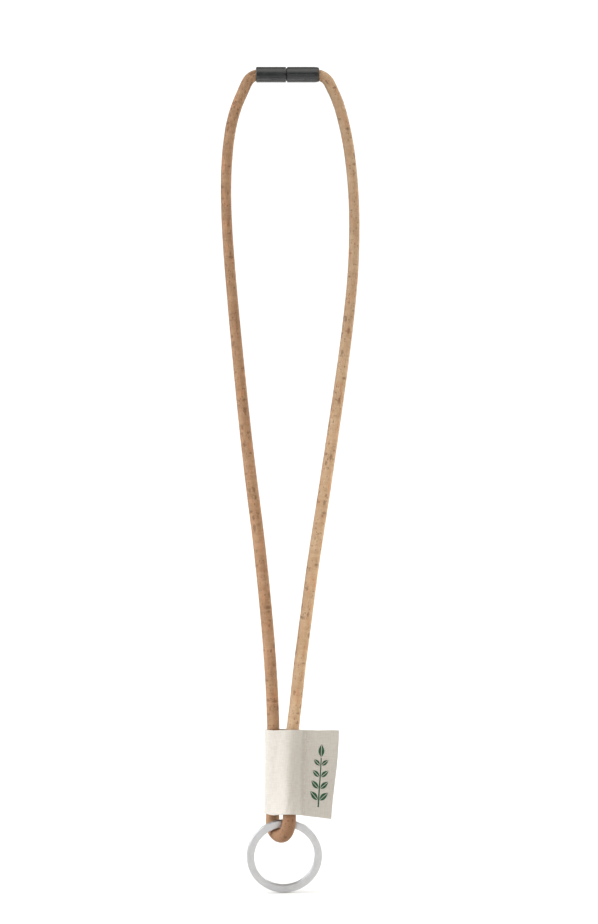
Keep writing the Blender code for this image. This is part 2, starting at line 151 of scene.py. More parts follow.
# Clasp, as in the CAD source, but for the gap, which is 0.2 mm wider.
CLASP_RADIUS = 3.1 * MM
CLASP_HALF_SPAN = 12.6 * MM
CLASP_SPLIT = -0.4 * MM
CLASP_GAP = 0.5 * MM  # between the rounded rims
CORD_BORE_RADIUS = 2.6 * MM
CORD_BORE_FLOOR = 8.1 * MM
STEM_RADIUS = 1.7 * MM
STEM_BEAD_RADIUS = 1.95 * MM
STEM_LENGTH = 5.6 * MM
STEM_SLOT = (0.7 * MM, 4.4 * MM)
SHOULDER = (2.62 * MM, 0.45 * MM)  # radius, length, of the plug's shoulder in the gap
SNAP_BORE_RADIUS = 2.2 * MM
SNAP_GROOVE_RADIUS = 2.5 * MM
OUTSIDE = 2.8 * MM  # a larger radius than this is on a barrel's outside
TURNED_STEPS = 180
FILLET_STEPS = 6
SOCKET_END = (0.5 * MM, 0.3 * MM)  # length, drop, of the rounding where the cord goes in
PLUG_END = (2.2 * MM, 0.46 * MM)
# Shallow channels along the barrels: bearing, half width, depth, softness of the sides.
SOCKET_PANEL = (radians(-14), radians(13), 0.1 * MM, radians(5))
PLUG_LINE = (radians(-9), radians(2.0), 0.16 * MM, radians(1.6))
CHANNEL_END = 0.4 * MM  # length over which a channel fades out

# Split ring, as in the CAD source.
RING_OUTER_RADIUS = 15.1 * MM
RING_BAND = 2.95 * MM
RING_WIRE = 0.95 * MM
WIRE_FILLET = 0.26 * MM
WIRE_FILLET_STEPS = 5
RING_PITCH = 1.07 * MM
RING_CROSSOVER = radians(26)
RING_CROSSOVER_AT = radians(78)
RING_END_GAP = radians(1.6)
RING_STEP = radians(1.5)
RING_PIVOT = Vector((-1.1, 0, -296.3)) * MM
RING_LEAN = radians(11)
RING_YAW = radians(4)

# Printed sprig, on the flap's front.
SPRIG_FOOT = (8.0 * MM, -288.8 * MM)  # distance along the flap, height
SPRIG_HEIGHT = 24.4 * MM
SPRIG_STEM = 0.7 * MM
SPRIG_PAIRS = 4
PAIR_LEVELS = (0.1, 0.185)  # shares of the sprig's height: the lowest pair, and each step up
PAIR_SHRINK = 0.1  # how much smaller each pair is than the one below
LEAF_LENGTH = 4.9 * MM
LEAF_WIDTH = 1.15 * MM
LEAF_VEIN = 0.14 * MM  # half the unprinted line along a leaf's middle
LEAF_ANGLE = radians(50)
INK_HEIGHT = 0.05 * MM

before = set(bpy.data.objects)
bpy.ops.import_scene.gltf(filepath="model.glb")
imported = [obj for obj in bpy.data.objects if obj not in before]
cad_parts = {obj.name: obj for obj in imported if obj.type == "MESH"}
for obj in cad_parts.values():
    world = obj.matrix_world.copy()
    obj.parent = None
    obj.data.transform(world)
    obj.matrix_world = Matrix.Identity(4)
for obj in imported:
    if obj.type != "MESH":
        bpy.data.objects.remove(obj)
cad_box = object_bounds()
scene = bpy.context.scene


# ---------------------------------------------------------------- materials


def new_material(name, **constants):
    """A material, its node tree and its shader, with constant values on the shader's sockets."""
    made = bpy.data.materials.new(name)
    made.use_nodes = True
    shader = made.node_tree.nodes["Principled BSDF"]
    for socket, value in constants.items():
        shader.inputs[socket.replace("_", " ")].default_value = value
    return made, made.node_tree, shader


def node(tree, kind, inputs=(), **attributes):
    made = tree.nodes.new("ShaderNode" + kind)
    for name, value in attributes.items():
        setattr(made, name, value)
    for key, value in dict(inputs).items():
        if isinstance(value, bpy.types.NodeSocket):
            tree.links.new(value, made.inputs[key])
        else:
            made.inputs[key].default_value = value
    return made


def maths(tree, operation, a, b=0.0):
    return node(tree, "Math", {0: a, 1: b}, operation=operation).outputs[0]


def between(tree, value, low, high, to_low=0.0, to_high=1.0):
    """The value's smooth step from low to high, as a number from to_low to to_high."""
    made = node(tree, "MapRange", {"Value": value, "From Min": low, "From Max": high,
                                   "To Min": to_low, "To Max": to_high},
                interpolation_type="SMOOTHSTEP")
    return made.outputs["Result"]


def mix(tree, share, a, b, blend="MIX"):
    made = node(tree, "Mix", {0: share, 6: a, 7: b}, data_type="RGBA", blend_type=blend)
    return made.outputs[2]


def scaled(tree, place, x, y, z=1.0, shift=0.0):
    made = node(tree, "Mapping", {"Vector": place, "Scale": (x, y, z),
                                  "Location": (shift, shift, shift)})
    return made.outputs["Vector"]


def noise_at(tree, place, scale, detail, roughness=0.5, distortion=0.0):
    made = node(tree, "TexNoise", {"Vector": place, "Scale": scale, "Detail": detail,
                                   "Roughness": roughness, "Distortion": distortion})
    return made.outputs["Fac"]


def relief(tree, shader, height, depth, below=None):
    """Bump of the given depth in metres, on top of another bump."""
    made = node(tree, "Bump", {"Height": height, "Distance": depth})
    if below is not None:
        tree.links.new(below, made.inputs["Normal"])
    tree.links.new(made.outputs["Normal"], shader.inputs["Normal"])
    return made.outputs["Normal"]


def flat_millimetres(tree):
    """The surface's own coordinates in mm: along x round or across it, along y up or down it."""
    uv = node(tree, "UVMap", uv_map="surface")
    return scaled(tree, uv.outputs["UV"], 1000, 1000)


def cork(name, tan, brown, shift, painted_side_shading, top_shade, painted_end_shade):
    """Cork skin, mottled, banded and specked.

    The side shading paints one side of the cord lighter and the other darker: painted light and
    shade. top_shade multiplies the colour near the clasp; the end shading darkens it past the
    bight, as painted shade.
    """
    made, tree, shader = new_material(name, Specular_IOR_Level=0.28)
    place = flat_millimetres(tree)
    around, down, _ = node(tree, "SeparateXYZ", {"Vector": place}).outputs
    patches = noise_at(tree, scaled(tree, place, 0.12, 0.07, 1, shift), 1.0, 3.0, 0.6)
    mottle = noise_at(tree, scaled(tree, place, 0.7, 0.6, 1, shift), 1.0, 6.0, 0.65, 0.6)
    bands = noise_at(tree, scaled(tree, place, 0.16, 0.75, 1, shift + 13), 1.0, 4.0, 0.6, 0.4)
    streaks = noise_at(tree, scaled(tree, place, 0.55, 0.13, 1, shift + 31), 1.0, 4.0, 0.6, 0.3)
    grain = noise_at(tree, scaled(tree, place, 5.5, 4.5, 1, shift), 1.0, 4.0, 0.6)
    tone = maths(tree, "ADD", maths(tree, "ADD", patches, mottle), bands)
    colour = mix(tree, between(tree, tone, 1.08, 1.92), brown, tan)
    orange = (0.50, 0.235, 0.12, 1)
    colour = mix(tree, between(tree, streaks, 0.52, 0.72, 0.0, 0.7), colour, orange)
    # Past 312 mm from its clasp, where the left cord is in front of the ring, it turns more
    # orange.
    colour = mix(tree, between(tree, down, 312.0, 320.0, 0.0, 0.4), colour, orange)
    wander = noise_at(tree, scaled(tree, place, 2.0, 1.6, 1, shift), 1.0, 3.0, 0.6)
    dark = None
    for across, along, most, seed in SPECKS:
        cells = node(tree, "TexVoronoi", {
            "Vector": scaled(tree, place, across, along, 1, shift + seed), "Scale": 1.0})
        chance = node(tree, "SeparateColor", {"Color": cells.outputs["Color"]}).outputs[0]
        radius = maths(tree, "MULTIPLY", maths(tree, "POWER", chance, 3.0), most)
        ragged = maths(tree, "ADD", cells.outputs["Distance"],
                       maths(tree, "MULTIPLY", maths(tree, "SUBTRACT", wander, 0.5), 0.5))
        speck = between(tree, maths(tree, "SUBTRACT", radius, ragged), -0.08, 0.05)
        dark = speck if dark is None else maths(tree, "MAXIMUM", dark, speck)
    colour = mix(tree, maths(tree, "MULTIPLY", dark, 0.5), colour, (0.115, 0.052, 0.024, 1))
    shade = maths(tree, "MULTIPLY", between(tree, grain, 0.3, 0.7, 0.84, 1.14),
                  between(tree, down, 60.0, 190.0, top_shade, 1.0))
    # Painted shade: past 312 mm from the clasp the colour is darkened, for the label's shade on
    # the leg in front of the ring.
    shade = maths(tree, "MULTIPLY", shade, between(tree, down, 312.0, 321.0, 1.0, painted_end_shade))
    # Painted light and shade: one side of the cord is painted lighter and the other side darker.
    side = maths(tree, "SINE", maths(tree, "MULTIPLY", around, 2 * MM / CORD_DIAMETER))
    shade = maths(tree, "MULTIPLY", shade,
                  maths(tree, "ADD", maths(tree, "MULTIPLY", side, painted_side_shading), 1.0))
    grey = node(tree, "CombineColor", {0: shade, 1: shade, 2: shade}).outputs[0]
    colour = mix(tree, 1.0, colour, grey, "MULTIPLY")
    tree.links.new(colour, shader.inputs["Base Color"])
    tree.links.new(between(tree, mottle, 0.3, 0.7, 0.72, 0.86), shader.inputs["Roughness"])
    below = relief(tree, shader, maths(tree, "SUBTRACT", mottle, dark), 0.07 * MM)
    relief(tree, shader, grain, 0.04 * MM, below)
    return made


def canvas_weave(tree, place):
    """Height of a plain weave over the place in mm: each thread passes over and under in turn."""
    wobble = noise_at(tree, scaled(tree, place, 0.35, 0.35), 1.0, 2.0)
    bend = maths(tree, "MULTIPLY", wobble, 0.5)
    x, y, _ = node(tree, "SeparateXYZ", {"Vector": place}).outputs
    across = maths(tree, "ADD", maths(tree, "MULTIPLY", x, pi / THREAD_PITCH), bend)
    along = maths(tree, "ADD", maths(tree, "MULTIPLY", y, pi / THREAD_PITCH), bend)
    warp = maths(tree, "SINE", across)
    weft = maths(tree, "SINE", along)
    over = maths(tree, "MULTIPLY", maths(tree, "MULTIPLY", warp, weft), 0.55)
    return maths(tree, "MAXIMUM",
                 maths(tree, "ADD", maths(tree, "ABSOLUTE", warp), over),
                 maths(tree, "SUBTRACT", maths(tree, "ABSOLUTE", weft), over))


def canvas():
    """Natural cotton canvas: plain weave, uneven threads and a few seed flecks."""
    made, tree, shader = new_material("canvas", Roughness=0.92, Sheen_Weight=0.25,
                                      Specular_IOR_Level=0.2)
    shader.inputs["Sheen Roughness"].default_value = 0.6
    place = flat_millimetres(tree)
    weave = canvas_weave(tree, place)
    slub_warp = noise_at(tree, scaled(tree, place, 2.2, 0.3), 1.0, 3.0, 0.6)
    slub_weft = noise_at(tree, scaled(tree, place, 0.3, 2.2, 1, 11), 1.0, 3.0, 0.6)
    slubs = maths(tree, "ADD", slub_warp, slub_weft)
    colour = mix(tree, between(tree, slubs, 0.75, 1.25),
                 (0.56, 0.52, 0.47, 1), (0.63, 0.595, 0.545, 1))
    # Painted shade: the weave's hollows between the threads are painted darker.
    colour = mix(tree, between(tree, weave, 0.5, 1.3, 0.28, 0.0), colour, (0.43, 0.37, 0.30, 1))
    cells = node(tree, "TexVoronoi", {"Vector": scaled(tree, place, 0.33, 0.5), "Scale": 1.0})
    fleck = between(tree, cells.outputs["Distance"], 0.035, 0.075, 0.6, 0.0)
    colour = mix(tree, fleck, colour, (0.34, 0.25, 0.16, 1))
    tree.links.new(colour, shader.inputs["Base Color"])
    fuzz = noise_at(tree, scaled(tree, place, 6, 6), 1.0, 4.0, 0.7)
    below = relief(tree, shader, weave, 0.1 * MM)
    relief(tree, shader, maths(tree, "ADD", fuzz, slubs), 0.05 * MM, below)
    return made


def ink():
    """Dark green ink on the weave: thinner, so paler, on the threads' crowns."""
    made, tree, shader = new_material("green_ink", Specular_IOR_Level=0.35)
    place = flat_millimetres(tree)
    weave = canvas_weave(tree, place)
    worn = noise_at(tree, scaled(tree, place, 1.3, 1.3), 1.0, 4.0, 0.6)
    colour = mix(tree, between(tree, worn, 0.35, 0.7),
                 (0.006, 0.06, 0.024, 1), (0.02, 0.115, 0.05, 1))
    thin = maths(tree, "MULTIPLY",
                 between(tree, weave, 1.15, 1.55), between(tree, worn, 0.45, 0.75))
    colour = mix(tree, maths(tree, "MULTIPLY", thin, 0.3), colour, (0.2, 0.33, 0.2, 1))
    tree.links.new(colour, shader.inputs["Base Color"])
    tree.links.new(between(tree, worn, 0.3, 0.7, 0.6, 0.78), shader.inputs["Roughness"])
    relief(tree, shader, weave, 0.08 * MM)
    return made


def thread():
    """Twisted cotton sewing thread."""
    made, tree, shader = new_material("sewing_thread", Roughness=0.8, Sheen_Weight=0.2)
    place = flat_millimetres(tree)
    x, y, _ = node(tree, "SeparateXYZ", {"Vector": place}).outputs
    slope = maths(tree, "ADD", maths(tree, "MULTIPLY", x, 5.0), maths(tree, "MULTIPLY", y, 14.0))
    twist = maths(tree, "ABSOLUTE", maths(tree, "SINE", slope))
    # Painted shade: the grooves between the thread's twisted plies are painted darker than their
    # crowns.
    colour = mix(tree, twist, (0.56, 0.51, 0.44, 1), (0.72, 0.68, 0.61, 1))
    tree.links.new(colour, shader.inputs["Base Color"])
    relief(tree, shader, twist, 0.05 * MM)
    return made


def moulded_plastic():
    """Near-black satin plastic with a fine moulded texture, paler where edges rub."""
    made, tree, shader = new_material("black_plastic", Specular_IOR_Level=0.55)
    place = scaled(tree, node(tree, "TexCoord").outputs["Object"], 1000, 1000, 1000)
    texture = noise_at(tree, place, 7.0, 3.0, 0.6)
    cloudy = noise_at(tree, place, 0.5, 3.0, 0.6)
    edge = between(tree, node(tree, "NewGeometry").outputs["Pointiness"], 0.52, 0.6)
    rubbed = maths(tree, "MULTIPLY", edge, between(tree, cloudy, 0.4, 0.65))
    colour = mix(tree, between(tree, cloudy, 0.3, 0.7),
                 (0.0150, 0.0160, 0.0175, 1), (0.022, 0.0235, 0.025, 1))
    colour = mix(tree, maths(tree, "MULTIPLY", rubbed, 0.5), colour, (0.10, 0.10, 0.105, 1))
    tree.links.new(colour, shader.inputs["Base Color"])
    tree.links.new(between(tree, cloudy, 0.3, 0.7, 0.34, 0.42), shader.inputs["Roughness"])
    relief(tree, shader, texture, 0.003 * MM)
    return made


def satin_steel():
    """Nickel-plated spring steel: tumbled satin finish with hairlines that run round the wire."""
    made, tree, shader = new_material("satin_steel", Metallic=1.0)
    place = flat_millimetres(tree)
    hairs = noise_at(tree, scaled(tree, place, 9.0, 0.16), 1.0, 4.0, 0.65)
    cloudy = noise_at(tree, scaled(tree, place, 0.5, 0.25), 1.0, 4.0, 0.6)
    colour = mix(tree, between(tree, cloudy, 0.3, 0.7),
                 (0.49, 0.49, 0.50, 1), (0.56, 0.56, 0.57, 1))
    tree.links.new(colour, shader.inputs["Base Color"])
    tree.links.new(between(tree, maths(tree, "ADD", hairs, cloudy), 0.7, 1.3, 0.34, 0.48),
                   shader.inputs["Roughness"])
    relief(tree, shader, hairs, 0.006 * MM)
    return made


# ---------------------------------------------------------------- mesh helpers


def tube(name, loops, uv, caps=False):
    """A smooth tube of quads through closed loops of points. uv has one column more than they."""
    rows, columns = loops.shape[:2]
    r, c = np.meshgrid(np.arange(rows - 1), np.arange(columns), indexing="ij")
    corners = [(r, c), (r, c + 1), (r + 1, c + 1), (r + 1, c)]
    faces = np.stack([a * columns + b % columns for a, b in corners], -1).reshape(-1, 4)
    places = np.stack([uv[a, b] for a, b in corners], 2).reshape(-1, 2)
    listed = faces.tolist()
    if caps:
        first, last = list(range(columns)), list(range((rows - 1) * columns, rows * columns))
        listed += [first, last[::-1]]
        places = np.vstack([places, np.repeat(uv[:1, 0], columns, 0),
                            np.repeat(uv[-1:, 0], columns, 0)])
    mesh = bpy.data.meshes.new(name)
    mesh.from_pydata(loops.reshape(-1, 3).tolist(), [], listed)
    layer = mesh.uv_layers.new(name="surface")
    layer.data.foreach_set("uv", places.astype(np.float32).ravel())
    mesh.polygons.foreach_set("use_smooth", [True] * len(mesh.polygons))
    outward(mesh)
    return mesh


def outward(mesh):
    bm = bmesh.new()
    bm.from_mesh(mesh)
    bmesh.ops.recalc_face_normals(bm, faces=bm.faces)
    bm.to_mesh(mesh)
    bm.free()


def piece(name, mesh, finish):
    made = bpy.data.objects.new(name, mesh)
    scene.collection.objects.link(made)
    mesh.materials.append(finish)
    return made


def joined(name, meshes):
    """One mesh of several, keeping their coordinates."""
    bm = bmesh.new()
    for mesh in meshes:
        bm.from_mesh(mesh)
        bpy.data.meshes.remove(mesh)
    mesh = bpy.data.meshes.new(name)
    bm.to_mesh(mesh)
    bm.free()
    mesh.polygons.foreach_set("use_smooth", [True] * len(mesh.polygons))
    return mesh


def unit(vectors):
    return vectors / np.linalg.norm(vectors, axis=-1, keepdims=True)


def distances(line):
    """How far along a polyline each of its points is."""
    return np.concatenate([[0], np.cumsum(np.linalg.norm(np.diff(line, axis=0), axis=1))])


# ---------------------------------------------------------------- cord


def smooth_curve(points, step):
    """A natural cubic spline through the points, read about every step."""
    p = np.array(points, float)
    t = distances(p)
    h = np.diff(t)
    n = len(p)
    a = np.eye(n)
    b = np.zeros((n, 3))
    for i in range(1, n - 1):
        a[i, i - 1 : i + 2] = h[i - 1], 2 * (h[i - 1] + h[i]), h[i]
        b[i] = 6 * ((p[i + 1] - p[i]) / h[i] - (p[i] - p[i - 1]) / h[i - 1])
    bend = np.linalg.solve(a, b)
    at = np.linspace(0, t[-1], int(t[-1] / step) + 1)
    k = np.clip(np.searchsorted(t, at) - 1, 0, n - 2)
    u, v, w = (at - t[k])[:, None], (t[k + 1] - at)[:, None], h[k][:, None]
    return (bend[k] * v**3 + bend[k + 1] * u**3) / (6 * w) + (
        p[k] / w - bend[k] * w / 6
    ) * v + (p[k + 1] / w - bend[k + 1] * w / 6) * u


def cord_radius(z):
    heights, radii = zip(*CORD_RADIUS_AT)
    return float(np.interp(z / MM, heights, radii)) * MM


def cord_mesh(name, line, seed):
    """A round cord along the line, slightly uneven, with the wrap's seam down its back."""
    ways = unit(np.gradient(line, axis=0))
    back = np.array((0.0, 1.0, 0.0))
    angles = np.arange(CORD_SIDES) * 2 * pi / CORD_SIDES
    depth, half_width = SEAM_GROOVE
    wide, narrow = LUMP_HEIGHTS
    rings = []
    for centre, way in zip(line, ways):
        back = unit(back - way * back.dot(way))
        side = np.cross(way, back)
        radius = cord_radius(centre[2])
        ring = []
        for angle in angles:
            out = cos(angle) * back + sin(angle) * side
            spot = Vector(centre + radius * out) / LUMP_SIZE + Vector((seed, 0, 0))
            lumps = wide * noise.noise(spot) + narrow * noise.noise(3.1 * spot)
            off_seam = radius * (angle if angle < pi else angle - 2 * pi)
            groove = depth * np.exp(-((off_seam / half_width) ** 2))
            ring.append(centre + (radius + lumps - groove) * out)
        rings.append(ring)
    run = distances(line)
    round_it = np.arange(CORD_SIDES + 1) * pi * CORD_DIAMETER / CORD_SIDES
    uv = np.stack(np.meshgrid(round_it, run), -1)
    return tube(name, np.array(rings), uv, caps=True)


def cords():
    """The two stretches of cord. They meet inside the label."""
    route = np.array(LEFT_ROUTE + RIGHT_ROUTE[::-1]) * MM
    line = smooth_curve(route, CORD_STEP)
    lowest = int(line[:, 2].argmin())
    join = lowest + int(np.searchsorted(line[lowest:, 2], CORD_JOIN))
    left, right = line[: join + 1], line[join + 1 :][::-1]
    # Painted light and shade: each cork paints one side lighter; the left's is painted darker past
    # the bight.
    warm = cork("cork_warm", tan=(0.415, 0.252, 0.145, 1), brown=(0.28, 0.155, 0.082, 1),
                shift=3.0, painted_side_shading=0.15, top_shade=0.86, painted_end_shade=0.72)
    pale = cork("cork_pale", tan=(0.53, 0.368, 0.23, 1), brown=(0.41, 0.26, 0.148, 1),
                shift=57.0, painted_side_shading=0.28, top_shade=0.8, painted_end_shade=1.0)
    cord_left = piece("cord_left", cord_mesh("cord_left", left, 0), warm)
    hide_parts("cork_sheath_left", "cotton_core_left")
    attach(cord_left, "root")
    cord_right = piece("cord_right", cord_mesh("cord_right", right, 40), pale)
    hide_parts("cork_sheath_right", "cotton_core_right")
    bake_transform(cord_right)
    return cord_left, cord_right, line[: lowest + 1], line[lowest:]


# ---------------------------------------------------------------- label


def strand_at(line, z):
    """Centre (x, y) of a strand that runs steadily up or down, at a height."""
    order = np.argsort(line[:, 2])
    return np.array([np.interp(z, line[order, 2], line[order, k]) for k in (0, 1)])


def convex_outline(points):
    """The points' convex outline, anticlockwise."""
    points = sorted(map(tuple, points))

    def half(run):
        kept = []
        for p in run:
            while len(kept) > 1:
                (ax, ay), (bx, by) = kept[-2:]
                if (bx - ax) * (p[1] - ay) - (by - ay) * (p[0] - ax) > 0:
                    break
                kept.pop()
            kept.append(p)
        return kept[:-1]

    return half(points) + half(reversed(points))


def flap_frame(share):
    """Seam point, direction along the flap and its front normal, at a share of the height."""
    seam = SEAM_TOP.lerp(SEAM_BOTTOM, share)
    angle = FLAP_ANGLES[0] + share * (FLAP_ANGLES[1] - FLAP_ANGLES[0])
    return seam, Vector((cos(angle), sin(angle))), Vector((sin(angle), -cos(angle)))


def evenly(line, count):
    """The polyline read at count places, evenly spaced along it."""
    run = distances(line)
    at = np.linspace(0, run[-1], count)
    return np.stack([np.interp(at, run, line[:, k]) for k in range(line.shape[1])], 1)


def softened(line, passes):
    """The polyline with its corners rounded off and its two ends kept."""
    line = line.copy()
    for _ in range(passes):
        line[1:-1] = 0.25 * line[:-2] + 0.5 * line[1:-1] + 0.25 * line[2:]
    return line


def label_section(share, left, right):
    """The strip's middle line at a share of the height: flap, round the strands, flap."""
    z = LABEL_TOP - share * LABEL_HEIGHT
    seam, along, front = flap_frame(share)
    apart = (CANVAS + LAYER_GAP) / 2
    corner_front, corner_back = seam + apart * front, seam - apart * front
    room = cord_radius(z) + SLEEVE_GAP + CANVAS / 2
    crowd = [corner_front, corner_back]
    for strand in (left, right):
        for level in (z, z + LABEL_TRAVEL):
            centre = Vector(strand_at(strand, level))
            crowd += [centre + room * Vector((cos(a), sin(a)))
                      for a in np.linspace(0, 2 * pi, OUTLINE_STEPS, endpoint=False)]
    outline = [Vector(p) for p in convex_outline(crowd)]
    first = min(range(len(outline)), key=lambda i: (outline[i] - corner_front).length)
    outline = outline[first:] + outline[:first]
    if (outline[1] - corner_back).length < (outline[-1] - corner_back).length:
        outline = [outline[0]] + outline[:0:-1]
    last = min(range(len(outline)), key=lambda i: (outline[i] - corner_back).length)
    wrap = [tuple(p) for p in outline[: last + 1]]
    reach = np.linspace(FLAP_WIDTH, FLAP_ROOT, FLAP_STEPS).tolist()
    ahead = [tuple(corner_front + s * along) for s in reach]
    behind = [tuple(corner_back + s * along) for s in reach[::-1]]
    flat = softened(evenly(np.array(ahead + wrap + behind), LABEL_COLUMNS), SOFTENING)
    return evenly(flat, LABEL_COLUMNS)


def bulge(row, from_edge, side, share):
    """How far a row of the strip stands out from its stretched shape, towards the front."""
    x, z = row[:, 0] / MM, row[:, 2] / MM
    between_strands = np.clip((x - BULGE_LEFT) / (BULGE_WIDTH - share), 0, 1)
    sleeve = np.clip((from_edge - FLAP_WIDTH) / (2 * MM), 0, 1)
    out = BULGE * np.sin(pi * between_strands) * sleeve * side
    for (x0, z0), (x1, z1), depth, width in CREASES:
        dx, dz = x1 - x0, z1 - z0
        t = np.clip(((x - x0) * dx + (z - z0) * dz) / (dx * dx + dz * dz), 0, 1)
        off = np.hypot(x - x0 - t * dx, z - z0 - t * dz)
        out -= np.where(side > 0, sleeve * depth * MM * np.exp(-((off / width) ** 2)), 0)
    return out


def label_grid(left, right):
    """The canvas's middle surface, as rows from the top down by columns from the front flap."""
    grid = np.zeros((LABEL_ROWS, LABEL_COLUMNS, 3))
    for i, share in enumerate(np.linspace(0, 1, LABEL_ROWS)):
        flat = label_section(share, left, right)
        run = distances(flat)
        from_edge = np.minimum(run, run[-1] - run)
        out = np.clip(1 - from_edge / FLAP_WIDTH, 0, 1)  # 0 at the seam, 1 at the free edge
        *_, front = flap_frame(share)
        wave = FLAP_WAVE * sin(2 * pi * (0.9 * share + 0.05)) * out**1.5
        side = np.where(run < run[-1] / 2, 1.0, -1.0)
        splay = FLAP_SPLAY * out**2 * (1 + 0.6 * sin(5 * share)) * side
        from_seam = FLAP_WIDTH - SEAM_INSET - from_edge
        pinch = -SEAM_PINCH[0] * np.exp(-((from_seam / SEAM_PINCH[1]) ** 2)) * side
        beyond = from_edge - FLAP_WIDTH - 0.4 * MM * sin(pi * min(share / 0.75, 1))
        valley = VALLEY[0] * np.exp(-((beyond / VALLEY[1]) ** 2))
        shift = (MM * (wave + splay + pinch) - valley)[:, None] * np.array(tuple(front))
        drop = FLAP_DROPS[0] + share * (FLAP_DROPS[1] - FLAP_DROPS[0])
        z = LABEL_TOP - share * LABEL_HEIGHT - drop * out
        grid[i, :, :2] = flat + shift
        grid[i, :, 2] = z
        grid[i, :, 1] -= bulge(grid[i], from_edge, side, share)
        proud = np.clip(FRONT_LEVEL - grid[i, :, 1], 0, None)
        grid[i, :, 2] += np.where(side > 0, FRONT_LIFT * proud, 0)
    size, deep, high = CRUMPLE
    for i in range(LABEL_ROWS):
        for j in range(LABEL_COLUMNS):
            spot = Vector(grid[i, j]) / size
            grid[i, j, 1] += deep * noise.noise(spot)
            grid[i, j, 2] += high * noise.noise(2 * spot + Vector((9, 9, 9)))
    return grid


def grid_normals(grid):
    down, over = np.gradient(grid, axis=0), np.gradient(grid, axis=1)
    return unit(np.cross(over, down)), unit(down), unit(over)


class Cloth:
    """The label's surface, read by place on the strip, for what is sewn or printed on it."""

    def __init__(self, grid):
        self.grid = grid
        self.normal, self.down, self.over = grid_normals(grid)

    def at(self, along_flap, z, lift, side=1):
        """A point on the flap, lifted off its outer face: side 1 is the front, -1 the back."""
        row = np.clip((LABEL_TOP - z) / LABEL_HEIGHT, 0, 1) * (LABEL_ROWS - 1)
        i = int(min(row, LABEL_ROWS - 2))
        share = row - i

        def read(field, k):
            run = distances(self.grid[k, :, :2])
            from_edge = FLAP_WIDTH - along_flap
            at = from_edge if side == 1 else run[-1] - from_edge
            return np.array([np.interp(at, run, field[k, :, c]) for c in range(3)])

        place = (1 - share) * read(self.grid, i) + share * read(self.grid, i + 1)
        normal = unit((1 - share) * read(self.normal, i) + share * read(self.normal, i + 1))
        return place + (CANVAS / 2 + lift) * normal


def label_mesh(cloth):
    """The canvas at its full thickness, with rounded cut edges."""
    grid, normal, down, over = cloth.grid, cloth.normal, cloth.down, cloth.over
    half = CANVAS / 2
    edge = [(0.6, 0.8), (0.9, 0.4)]  # shares of half: out past the cut edge, thickness there

    def loop(i, past, thick):
        centre = grid[i] + past * half * down[i] * (1 if i else -1)
        lift = half * thick * normal[i]
        outer, inner = centre + lift, (centre - lift)[::-1]
        right = [centre[-1] + out * half * over[i, -1] + side * lift[-1] * level
                 for out, level, side in ((0.7, 0.7, 1), (1.0, 0.0, 1), (0.7, 0.7, -1))]
        left = [centre[0] - out * half * over[i, 0] + side * lift[0] * level
                for out, level, side in ((0.7, 0.7, -1), (1.0, 0.0, 1), (0.7, 0.7, 1))]
        return np.vstack([outer, right, inner, left])

    top = [loop(0, past, thick) for past, thick in reversed(edge)]
    bottom = [loop(LABEL_ROWS - 1, past, thick) for past, thick in edge]
    loops = np.array(top + [loop(i, 0, 1) for i in range(LABEL_ROWS)] + bottom)
    length = np.linalg.norm(np.diff(grid[LABEL_ROWS // 2], axis=0), axis=1).sum()
    u = np.linspace(0, length, LABEL_COLUMNS)
    around = np.concatenate([u, [length + half] * 3, u[::-1], [-half] * 3, [0]])
    v = np.linspace(0, LABEL_HEIGHT, LABEL_ROWS)
    up = np.concatenate([[-half, -half], v, [LABEL_HEIGHT + half] * 2])
    uv = np.stack(np.meshgrid(around, -up), -1)
    mesh = tube("label_canvas", loops, uv)
    return closed_ends(mesh, loops.shape[0], loops.shape[1])


def closed_ends(mesh, rows, columns):
    """Closes the first and last loop by joining their outer side to their inner side."""
    bm = bmesh.new()
    bm.from_mesh(mesh)
    bm.verts.ensure_lookup_table()
    layer = bm.loops.layers.uv["surface"]
    for start in (0, (rows - 1) * columns):
        for j in range(LABEL_COLUMNS - 1):
            across = [j, j + 1, 2 * LABEL_COLUMNS + 1 - j, 2 * LABEL_COLUMNS + 2 - j]
            bm.faces.new([bm.verts[start + k] for k in across])
        right = [LABEL_COLUMNS - 1 + k for k in range(5)]
        left = [2 * LABEL_COLUMNS + 2 + k for k in range(4)] + [0]
        for ends in (right, left):
            bm.faces.new([bm.verts[start + k] for k in ends])
    for face in bm.faces:
        face.smooth = True
        for loop in face.loops:  # the new faces, whose uv is still zero, take their neighbours'
            if loop[layer].uv.length < 1e-9:
                loop[layer].uv = next((x[layer].uv for x in loop.vert.link_loops
                                       if x[layer].uv.length > 1e-9), loop[layer].uv).copy()
    bmesh.ops.recalc_face_normals(bm, faces=bm.faces)
    bm.to_mesh(mesh)
    bm.free()
    return mesh


def slab(cloth, outline_grid, low, high):
    """A thin closed plate on the flap, over a grid of (distance along the flap, height)."""

    def lifted(lift):
        return np.array([[cloth.at(s, z, lift) for s, z in row] for row in outline_grid])

    top, bottom = lifted(high), lifted(low)
    loops = np.concatenate([top, bottom[:, ::-1]], 1)
    uv = np.concatenate([outline_grid, outline_grid[:, ::-1], outline_grid[:, :1]], 1)
    return tube("slab", loops, uv, caps=True)


def half_leaf(root, angle, length, width, side):
    """Grid over one half of a leaf, from its rib to its edge, pointed at both ends."""
    ways = Vector((sin(angle), cos(angle)))
    across = Vector((cos(angle), -sin(angle))) * side
    rows = []
    for s in np.linspace(0.02, 0.985, 13).tolist():
        reach = width * sin(pi * s**0.85) + LEAF_VEIN * 0.3
        rib = min(LEAF_VEIN, 0.6 * reach)
        start = root + length * s * ways
        rows.append([start + across * (rib + (reach - rib) * t) for t in (0, 0.25, 0.5, 0.75, 1)])
    return np.array(rows)


